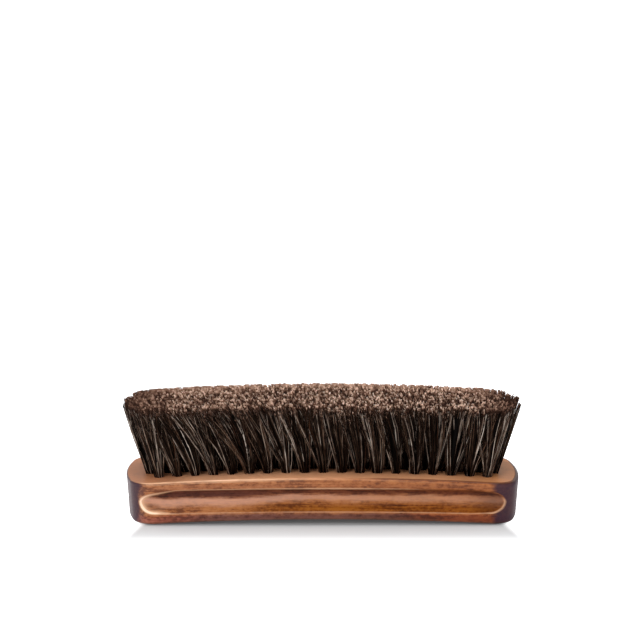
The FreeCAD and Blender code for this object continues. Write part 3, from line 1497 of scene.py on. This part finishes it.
    def wisp_courses(self, mouths: Array, tips: Array,
                     rng: np.random.Generator) -> Tuple[Array, Array, Array]:
        """Courses of the wisps of some tufts, seen from above.

        Each tuft is a square of wisps. A wisp starts at a point of its
        hole's disc and ends near the matching point of the tuft's square
        cell on the tips' crown. In between it flares as 1 - (1 - t)^flare,
        leans with the comb, gathers a little towards its lock, and drifts
        and tilts at random.

        Args:
            mouths: Hole mouths, m by 3.
            tips: Tuft tips, m by 3.
            rng: Source of the random draws.

        Returns:
            Courses (wisps by rings by 2), the number of each wisp's tuft and
            the height by which each wisp is cut long or short.
        """
        across = self.wisps_across
        ticks = (np.arange(across) + 0.5) / across * 2 - 1
        square = np.stack(np.meshgrid(ticks, ticks), -1).reshape(1, -1, 2)
        square = (square + rng.uniform(-1, 1, (len(mouths), across ** 2, 2))
                  / across).reshape(-1, 2)
        tuft = np.repeat(np.arange(len(mouths)), across ** 2)
        total = len(square)
        mixed = (1 - self.root_mix) * square + self.root_mix * rng.uniform(
            -1, 1, (total, 2))
        disc = mixed * np.sqrt(1 - np.minimum(mixed[:, ::-1] ** 2, 1) / 2)

        centres = rng.uniform(-self.lock_reach, self.lock_reach,
                              (len(mouths), self.locks_per_tuft, 2))
        gaps = np.linalg.norm(square[:, None] - centres[tuft], axis=2)
        lock = gaps.argmin(1)
        sway = rng.normal(0, self.lock_sway, centres.shape)[tuft, lock]
        lag = rng.uniform(*self.comb_lag, total)
        spread = self.cell * square
        gather = self.cell * self.lock_gather * (
            centres[tuft, lock] - square)

        along = np.array(self.shares)
        t = along[None, :, None]
        flare = 1 - (1 - t) ** self.flare
        pull = self.lock_pull * np.sin(math.pi * t)
        drift = rng.normal(0, self.drift_spread, (total, 1, 2))
        tilt = rng.normal(0, self.tilt_spread, (total, 1, 2)) * [
            1.0, self.tilt_across]
        lean = (tips - mouths)[tuft, None, :2]
        flat = (mouths[tuft, None, :2] + lean * t
                + self.root_radius * disc[:, None] * (1 - flare)
                + spread[:, None] * flare + gather[:, None] * pull * flare
                + sway[:, None] * t ** self.sway_power
                + drift * np.sin(self.drift_turn * t) * t + tilt * t)
        comb = self.comb(mouths[tuft, 0]) * lag
        flat[..., 0] += comb[:, None] * (along ** self.comb_power)[None, :]
        return flat, tuft, rng.normal(0, self.wisp_uneven, total)

    def hair_lines(self, mouths: Array, tips: Array,
                   rng: np.random.Generator) -> Tuple[Array, Array]:
        """Centre lines of every hair of some tufts.

        The hairs of a wisp wind round its course and cross each other, and a
        few stray. The ends of the field stop at a soft, ragged limit, the
        back at a soft brim, and near the ends the field narrows to a rounded
        outline. Each hair rises evenly to the tips' crown, which is tilted
        up towards the back in the middle of the brush; the front edge hangs
        lower as a fringe, and a few hairs are short.

        Args:
            mouths: Hole mouths, m by 3.
            tips: Tuft tips, m by 3.
            rng: Source of the random draws.

        Returns:
            Lines (hairs by rings by 3) and the number of each hair's wisp.
        """
        flat, tuft, uneven = self.wisp_courses(mouths, tips, rng)
        along = np.array(self.shares)
        t = along[None, :, None]
        wisp = np.repeat(np.arange(len(flat)), self.hairs_per_wisp)
        total = len(wisp)
        side = rng.normal(0, 1, (2, total, 1, 2))
        turn = rng.uniform(*self.cross_turn, (total, 1, 1)) * math.pi * t
        least, growth = self.wisp_growth
        girth = self.wisp_radius * (least + growth * t ** 2)
        loose = rng.normal(0, self.loose_spread, (total, 1, 2)) + (
            rng.uniform(0, 1, (total, 1, 1)) > self.neat_share) * rng.normal(
            0, self.stray_spread, (total, 1, 2))
        flat = (flat[wisp] + loose * t ** self.loose_power + girth * (
            side[0] * np.cos(turn) + side[1] * np.sin(turn)))
        ragged = rng.normal(0, self.ragged_spread, (total, 1)) * along
        flat[..., 0] -= self.end_excess(flat[..., 0] + ragged, along)
        limit = self.end_limit(flat[:, -1, 0])[:, None]
        ease = self.brim_ease * from_least(self.brim_ease_least, along)
        tip_brim = self.outer_row_reach + self.side_splay + self.cell[1]
        root_brim = self.outer_row_reach + self.root_radius
        brim = root_brim + (tip_brim - root_brim) * along
        flat[..., 1] -= soft_excess(flat[..., 1], brim, ease)
        flat[..., 1] *= 1 - (1 - limit) * along[None, :] ** self.narrow_power

        x, y = flat[:, -1, 0], flat[:, -1, 1]
        foot = mouths[tuft[wisp], 2] - self.root_depth
        short = (rng.uniform(0, 1, total) > self.full_share) * rng.uniform(
            0, self.short_reach, total)
        edge = np.clip(1 - (limit[:, 0] * tip_brim - np.abs(y))
                       / self.edge_width, 0, self.edge_most)
        drop = edge ** 2 * rng.uniform(self.drop_least, 1, total) * np.where(
            y < 0, MM * self.fringe_drop.at(x), self.back_drop)
        rear = np.clip(y / self.outer_row_reach, -1, 1) * np.maximum(
            1 - (x / self.lift_reach) ** 2, 0)
        top = (self.sizes.tips.height(x) + uneven[wisp] - short - drop
               + self.rear_lift * rear
               + rng.normal(0, self.cut_spread, total))
        level = foot[:, None] + (top - foot)[:, None] * along[None, :]
        return np.concatenate([flat, level[..., None]], -1), wisp

    def core_lines(self, mouths: Array, tips: Array) -> Array:
        """Middle lines of the dense cores, which stop short of the tips.

        They lean with the comb and close up at the ends, as the hairs do.

        Args:
            mouths: Hole mouths, m by 3.
            tips: Tuft tips, m by 3.

        Returns:
            Lines, m by rings by 3.
        """
        t = np.array(self.core_shares)[None, :, None]
        foot = mouths - [0.0, 0.0, self.root_depth]
        lines = foot[:, None] + (tips - foot)[:, None] * t
        lines[..., 0] += self.comb(mouths[:, :1]) * (
            t[..., 0] ** self.comb_power)
        limit = self.end_limit(tips[:, :1])
        lines[..., 1] *= 1 - (1 - limit) * t[..., 0] ** self.narrow_power
        return lines

    @staticmethod
    def tubes(lines: Array, radii: Array, sides: int, turn: Array
              ) -> Tuple[Array, List[Array]]:
        """Closed tubes round many lines.

        A point of a tube is its line's point plus the radius times cos(a)
        of one cross axis and sin(a) of the other; both axes stand square to
        the straight line from root to tip.

        Args:
            lines: Middle lines, n by rings by 3.
            radii: Radius at each ring, n by rings.
            sides: Number of sides.
            turn: Angle by which each tube is turned, n.

        Returns:
            Points (n by rings by sides by 3) and the faces: side quads, tip
            caps and root caps.
        """
        way = lines[:, -1] - lines[:, 0]
        way /= np.linalg.norm(way, axis=1, keepdims=True)
        first = np.cross([0.0, 1.0, 0.0], way)
        first /= np.linalg.norm(first, axis=1, keepdims=True)
        second = np.cross(way, first)
        angle = turn[:, None] + np.arange(sides) * 2 * math.pi / sides
        ring = (np.cos(angle)[..., None] * first[:, None]
                + np.sin(angle)[..., None] * second[:, None])
        points = lines[:, :, None] + radii[:, :, None, None] * ring[:, None]
        count, rings = radii.shape
        number = np.arange(count * rings * sides).reshape(count, rings, sides)
        ahead = np.roll(number, -1, axis=2)
        quads = np.stack([number[:, :-1], ahead[:, :-1], ahead[:, 1:],
                          number[:, 1:]], -1).reshape(-1, 4)
        return points, [quads, number[:, -1], number[:, 0, ::-1]]

    def shaft_tones(self, x: float, wisp: Array, rng: np.random.Generator
                    ) -> Tuple[Array, Array]:
        """Tone of every hair of a rank.

        A random value that a wisp shares in part is ranked into an even
        spread of dark tones, a few hairs are pale, and all are shaded by a
        power that changes along the brush.

        Args:
            x: Place of the rank.
            wisp: Number of each hair's wisp.
            rng: Source of the random draws.

        Returns:
            The tones, 0 to 1, and which hairs are pale.
        """
        total, wisps = len(wisp), wisp[-1] + 1
        raw = self.wisp_tone * rng.uniform(0, 1, wisps)[wisp] + rng.uniform(
            0, 1 - self.wisp_tone, total)
        tone = self.dark_share * (np.argsort(np.argsort(raw)) + 0.5) / total
        pale = rng.uniform(0, 1, total) > self.dark_share
        tone = np.where(pale, rng.uniform(self.dark_share, 1, total), tone)
        return tone ** self.shade_power.at(x), pale

    def tip_tones(self, rank_x: float, ends: Array, speck: Array, far: Array,
                  rng: np.random.Generator) -> Array:
        """Tone of every cut tip of a rank.

        Specks with some noise, the dark ones painted shade on tips that also
        stand lower, evened out towards the back, a little paler to the right,
        and darker at the back rim and at both ends.

        Args:
            rank_x: Place of the rank.
            ends: End points of the hairs, n by 3.
            speck: Random number of each hair's speck.
            far: Share from the middle to the back of each hair.
            rng: Source of the random draws.

        Returns:
            The tones, 0 to 1.
        """
        # Dark specks are painted shade on the lower tips
        tip = self.speck_share * speck + (1 - self.speck_share) * rng.uniform(
            0, 1, len(ends))
        tip = tip + self.far_share * far * (self.far_tone - tip)
        tip = tip * (1 + self.right_gain * np.clip(
            rank_x / self.right_reach, *self.right_limits))
        rim = onset(ends[:, 1], self.outer_row_reach + self.side_splay
                    + self.rim_start, self.rim_run)
        end = onset(np.abs(ends[:, 0]), *self.end_onset)
        return np.minimum(tip, 1) * (1 - self.rim_fall * rim) * (
            1 - self.end_fall * end)

    def build_rank(self, rank: int, material: bpy.types.Material
                   ) -> bpy.types.Object:
        """Build one rank of tufts: its hairs and the dense core of each tuft.

        A hair's radius falls with the square of the share along it, but less
        towards the back, where the hairs are thicker.

        Args:
            rank: Number of the rank, from 1.
            material: The hair's material.

        Returns:
            The rank's piece.
        """
        rng = np.random.default_rng(self.seed + rank)
        tip_start = self.finish.tip_start
        along = np.array(self.shares)
        mouths, tips = self.tuft_places(rank)
        lines, wisp = self.hair_lines(mouths, tips, rng)
        total = len(lines)
        tone, pale = self.shaft_tones(mouths[0, 0], wisp, rng)
        speck = self.speckle(lines[:, -1, 0], lines[:, -1, 1])
        far = onset(lines[:, -1, 1], *self.far_onset)
        lines[:, -1, 2] -= self.speck_relief * (1 - speck) * (
            1 - self.far_calm * far)
        tip = self.tip_tones(mouths[0, 0], lines[:, -1], speck, far, rng)
        thick = self.hair_radius * np.where(pale, self.pale_growth, 1.0)
        thick = thick * (1 + self.far_growth * far ** 2)
        radii = thick[:, None] * (
            1.0 - self.hair_taper * along ** 2 * (1 - far[:, None]))
        turn = rng.uniform(0, 2 * math.pi, total)
        hair, hair_faces = self.tubes(lines, radii, self.hair_sides, turn)

        cores = self.core_lines(mouths, tips)
        core_radii = np.tile(self.core_radii, (len(cores), 1))
        core, core_faces = self.tubes(cores, core_radii, self.core_sides,
                                      np.zeros(len(cores)))
        offset = hair.size // 3
        points = np.concatenate([hair.reshape(-1, 3), core.reshape(-1, 3)])
        faces = hair_faces + [part + offset for part in core_faces]

        tones = np.concatenate([
            np.broadcast_to(tone[:, None, None], hair.shape[:3]).ravel(),
            np.full(core.size // 3, self.core_tone)])
        core_along = np.broadcast_to(
            np.array(self.core_alongs)[None, :, None], core.shape[:3])
        hair_along = np.tile(along * self.last_along / along[-2], (total, 1))
        hair_along[:, -1] = tip_start + (1 - tip_start) * tip
        alongs = np.concatenate([
            np.broadcast_to(hair_along[..., None], hair.shape[:3]).ravel(),
            core_along.ravel()])
        mesh = make_mesh(f"hair_rank_{rank:02d}", points, faces)
        add_attribute(mesh, "tone", tones)
        add_attribute(mesh, "along", alongs)
        self.lay_out(mesh, faces, tones, alongs)
        return add_piece(f"hair_rank_{rank:02d}", mesh, material,
                         f"tufts_rank_{rank:02d}")

    def lay_out(self, mesh: bpy.types.Mesh, faces: Sequence[Array],
                tones: Array, alongs: Array) -> None:
        """Lay every face out by tone across and share along upwards.

        Faces with the same tone and share fall on each other, which the
        colour allows, and each is given a small width and height.

        Args:
            mesh: Mesh that gets the two maps.
            faces: Its faces, in order.
            tones: Tone of each vertex.
            alongs: Share along the hair of each vertex.
        """
        width = self.map_width
        parts = []
        for part in faces:
            corners = part.shape[1]
            angle = 2 * math.pi * (np.arange(corners) + 0.5) / corners
            across = tones[part] + width * np.cos(angle + math.pi)
            upward = alongs[part] * (1 - 2 * width) + width * (
                1 - np.sin(angle))
            parts.append(np.stack([across, upward], -1).reshape(-1, 2))
        flat = np.clip(np.concatenate(parts), 0.0, 1.0).astype(np.float32)
        for name in ("strand", "OFBake"):
            layer = mesh.uv_layers.new(name=name)
            layer.data.foreach_set("uv", flat.ravel())
        mesh.uv_layers["strand"].active = True
        mesh.uv_layers["strand"].active_render = True

    def build(self) -> List[bpy.types.Object]:
        """Build all ranks.

        Returns:
            Their pieces, from the low X end.
        """
        material = self.finish.material()
        ranks = 2 * self.holes_in_long_row - 1
        return [self.build_rank(rank + 1, material) for rank in range(ranks)]


@dataclass
class Anchors:
    """The flat wire anchors of each row, kept as the CAD made them."""

    row_count: int = 5
    finish: WireFinish = field(default_factory=WireFinish)

    def dress(self, nodes: Dict[str, bpy.types.Object]) -> None:
        """Give every anchor row the drawn wire.

        Args:
            nodes: CAD nodes by name.
        """
        material = self.finish.material()
        for row in range(1, self.row_count + 1):
            node = nodes[f"anchors_row_{row}"]
            node.data.materials.clear()
            node.data.materials.append(material)
            LOG.info("%s: drawn wire", node.name)


@dataclass(frozen=True)
class Lamp:
    """A soft rectangular lamp: where it hangs, its sides and its watts."""

    name: str
    place: Tuple[float, float, float]
    width: float
    depth: float
    power: float

    def hang(self, target: Tuple[float, float, float]) -> None:
        """Hang the lamp in the scene.

        Args:
            target: Where it points.
        """
        light = bpy.data.lights.new(self.name, "AREA")
        light.shape = "RECTANGLE"
        light.size, light.size_y = self.width, self.depth
        light.energy = self.power
        lamp = bpy.data.objects.new(self.name, light)
        bpy.context.scene.collection.objects.link(lamp)
        lamp.location = self.place
        way = Vector(target) - Vector(self.place)
        lamp.rotation_euler = way.to_track_quat("-Z", "Y").to_euler()


@dataclass
class Studio:
    """Pale floor, soft lamps, plain world and the camera."""

    # Floor and the shade beside the block
    floor_radius: float = 6.0
    floor_hub: float = 0.02
    floor_rings: int = 24
    floor_sides: int = 96
    floor_colour: Colour = (0.84, 0.84, 0.85)
    shade_colour: Colour = (0.02, 0.02, 0.02)
    shade_reach: float = 34 * MM
    shade_under: float = 2 * MM
    shade_side: float = 3.5 * MM
    shade_inset: float = 6 * MM
    shade_slant: float = 0.3
    shade_depth: float = 0.52
    near_glow: float = 0.17
    near_least: float = 0.4
    near_span: Span = (-4 * MM, 3 * MM)
    outer_glow: float = 0.22
    outer_span: Span = (0.62, 0.10)

    # Lamps and world
    lamps: Tuple[Lamp, ...] = (
        Lamp("overhead", (0.0, 0.05, 1.1), 1.0, 0.7, 9.0),
        Lamp("front_left", (-0.8, -1.1, 0.75), 0.7, 0.5, 9.0),
        Lamp("front_right", (0.9, -1.0, 0.6), 0.6, 0.5, 5.0))
    world_strength: float = 0.53
    world_slope: float = 0.62

    # Camera
    aim_height: float = 20 * MM
    elevation: float = math.radians(14.732)
    bearing: float = math.radians(0.888)
    roll: float = math.radians(-0.167)
    distance: float = 1368.9 * MM
    focal_pixels: float = 3154.0
    sensor_width: float = 36.0
    clip: Span = (0.05, 50.0)
    target: Tuple[float, float, float] = (-1.40 * MM, 0.0, 84.5 * MM)

    def floor_material(self, sizes: BrushSizes) -> bpy.types.Material:
        """Pale matt floor that turns white away from the brush.

        Along both long sides the floor's colour darkens towards the block, a
        painted soft contact shadow whose ends slant outwards. A white emission
        lifts the floor for rays that show the background: fully outside that
        shade, and a little in it, next to the block and along its outer
        border.

        Args:
            sizes: Sizes of the brush.

        Returns:
            The floor's material.
        """
        book = NodeBook.material("studio_floor")
        out = abs(book.axis("Y")) - sizes.block_width / 2
        side = abs(book.axis("X")) - (
            sizes.block_length / 2 - self.shade_inset) - self.shade_slant * out
        beside = side.step(-self.shade_side, self.shade_side)
        clear = beside.most(out.step(self.shade_reach, 3 * self.shade_reach))
        shade = out.step(self.shade_reach, -self.shade_under) * (1.0 - beside)
        near = self.near_glow * shade * shade * from_least(
            self.near_least, out.step(*self.near_span))
        outer = self.outer_glow * shade.step(*self.outer_span)
        # Painted contact shadow in the floor's colour
        pale = book.mix(self.shade_depth * shade, self.floor_colour,
                        self.shade_colour)
        diffuse = book.node("ShaderNodeBsdfDiffuse", None, {"Color": pale})
        glow = book.node("ShaderNodeEmission", None, {
            "Color": (1.0, 1.0, 1.0),
            "Strength": book.seen() * (clear + near + outer)})
        return book.finish(book.node("ShaderNodeAddShader", None,
                                     {0: diffuse, 1: glow}))

    def build_floor(self, sizes: BrushSizes) -> None:
        """Lay the floor: rings of growing radius about the origin.

        Args:
            sizes: Sizes of the brush.
        """
        turn = np.linspace(0, 2 * math.pi, self.floor_sides + 1)[:-1]
        radius = np.geomspace(self.floor_hub, self.floor_radius,
                              self.floor_rings)[:, None]
        ring = np.stack([radius * np.cos(turn), radius * np.sin(turn),
                         np.zeros((len(radius), len(turn)))], -1)
        points = np.concatenate([ring.reshape(-1, 3), np.zeros((1, 3))])
        number, ahead, quads = ring_faces(len(radius), len(turn))
        hub = np.full(len(turn), number.size)
        fan = np.stack([hub, number[0], ahead[0]], -1)
        mesh = make_mesh("studio_floor", points, [quads, fan])
        mesh.materials.append(self.floor_material(sizes))
        floor = bpy.data.objects.new("studio_floor", mesh)
        bpy.context.scene.collection.objects.link(floor)

    def build_lamps(self) -> None:
        """Hang every lamp, pointing at the brush."""
        for lamp in self.lamps:
            lamp.hang((0.0, 0.0, self.aim_height))

    def build_world(self) -> None:
        """Plain world, brighter on the left, shown as white."""
        world = bpy.data.worlds.new("studio_world")
        bpy.context.scene.world = world
        book = NodeBook(world)
        direction = book.node("ShaderNodeTexCoord", out="Generated")
        right = book.node("ShaderNodeSeparateXYZ", None, {0: direction})
        strength = self.world_strength * (1.0 - self.world_slope * right)
        light = book.node("ShaderNodeBackground", None, {"Strength": strength})
        white = book.node("ShaderNodeBackground", None, {
            "Color": (1.0, 1.0, 1.0), "Strength": 1.0})
        book.finish(book.node("ShaderNodeMixShader", None,
                              {0: book.seen(), 1: light, 2: white}))

    def build_camera(self) -> None:
        """Set the camera up at the photograph's angle, without any shift."""
        aim = Vector((0.0, 0.0, self.aim_height))
        flat = math.cos(self.elevation)
        back = Vector((-math.sin(self.bearing) * flat,
                       -math.cos(self.bearing) * flat,
                       math.sin(self.elevation)))
        place = aim + self.distance * back
        ahead = (Vector(self.target) - place).normalized()
        right = ahead.cross(Vector((0.0, 0.0, 1.0))).normalized()
        up = right.cross(ahead)
        c, s = math.cos(self.roll), math.sin(self.roll)
        right, up = c * right - s * up, s * right + c * up
        data = bpy.data.cameras.new("photo_camera")
        data.sensor_width = self.sensor_width
        data.lens = self.focal_pixels / IMAGE_SIZE * data.sensor_width
        data.clip_start, data.clip_end = self.clip
        camera = bpy.data.objects.new("photo_camera", data)
        bpy.context.scene.collection.objects.link(camera)
        turn = Matrix((right, up, -ahead)).transposed().to_4x4()
        camera.matrix_world = Matrix.Translation(place) @ turn
        bpy.context.scene.camera = camera

    def build(self, sizes: BrushSizes) -> None:
        """Build the floor, lamps, world and camera.

        Args:
            sizes: Sizes of the brush that stands on the floor.
        """
        self.build_floor(sizes)
        self.build_lamps()
        self.build_world()
        self.build_camera()
        bpy.context.scene.view_settings.view_transform = "Standard"
        LOG.info("studio ready")


def main() -> None:
    """Build the brush, then the studio."""
    logging.basicConfig(level=logging.INFO, format="%(name)s: %(message)s")
    sizes = BrushSizes()
    WoodBlock(sizes).build()
    HairField(sizes).build()
    Anchors().dress(frame["nodes"])
    Studio().build(sizes)


if __name__ == "__main__":
    main()
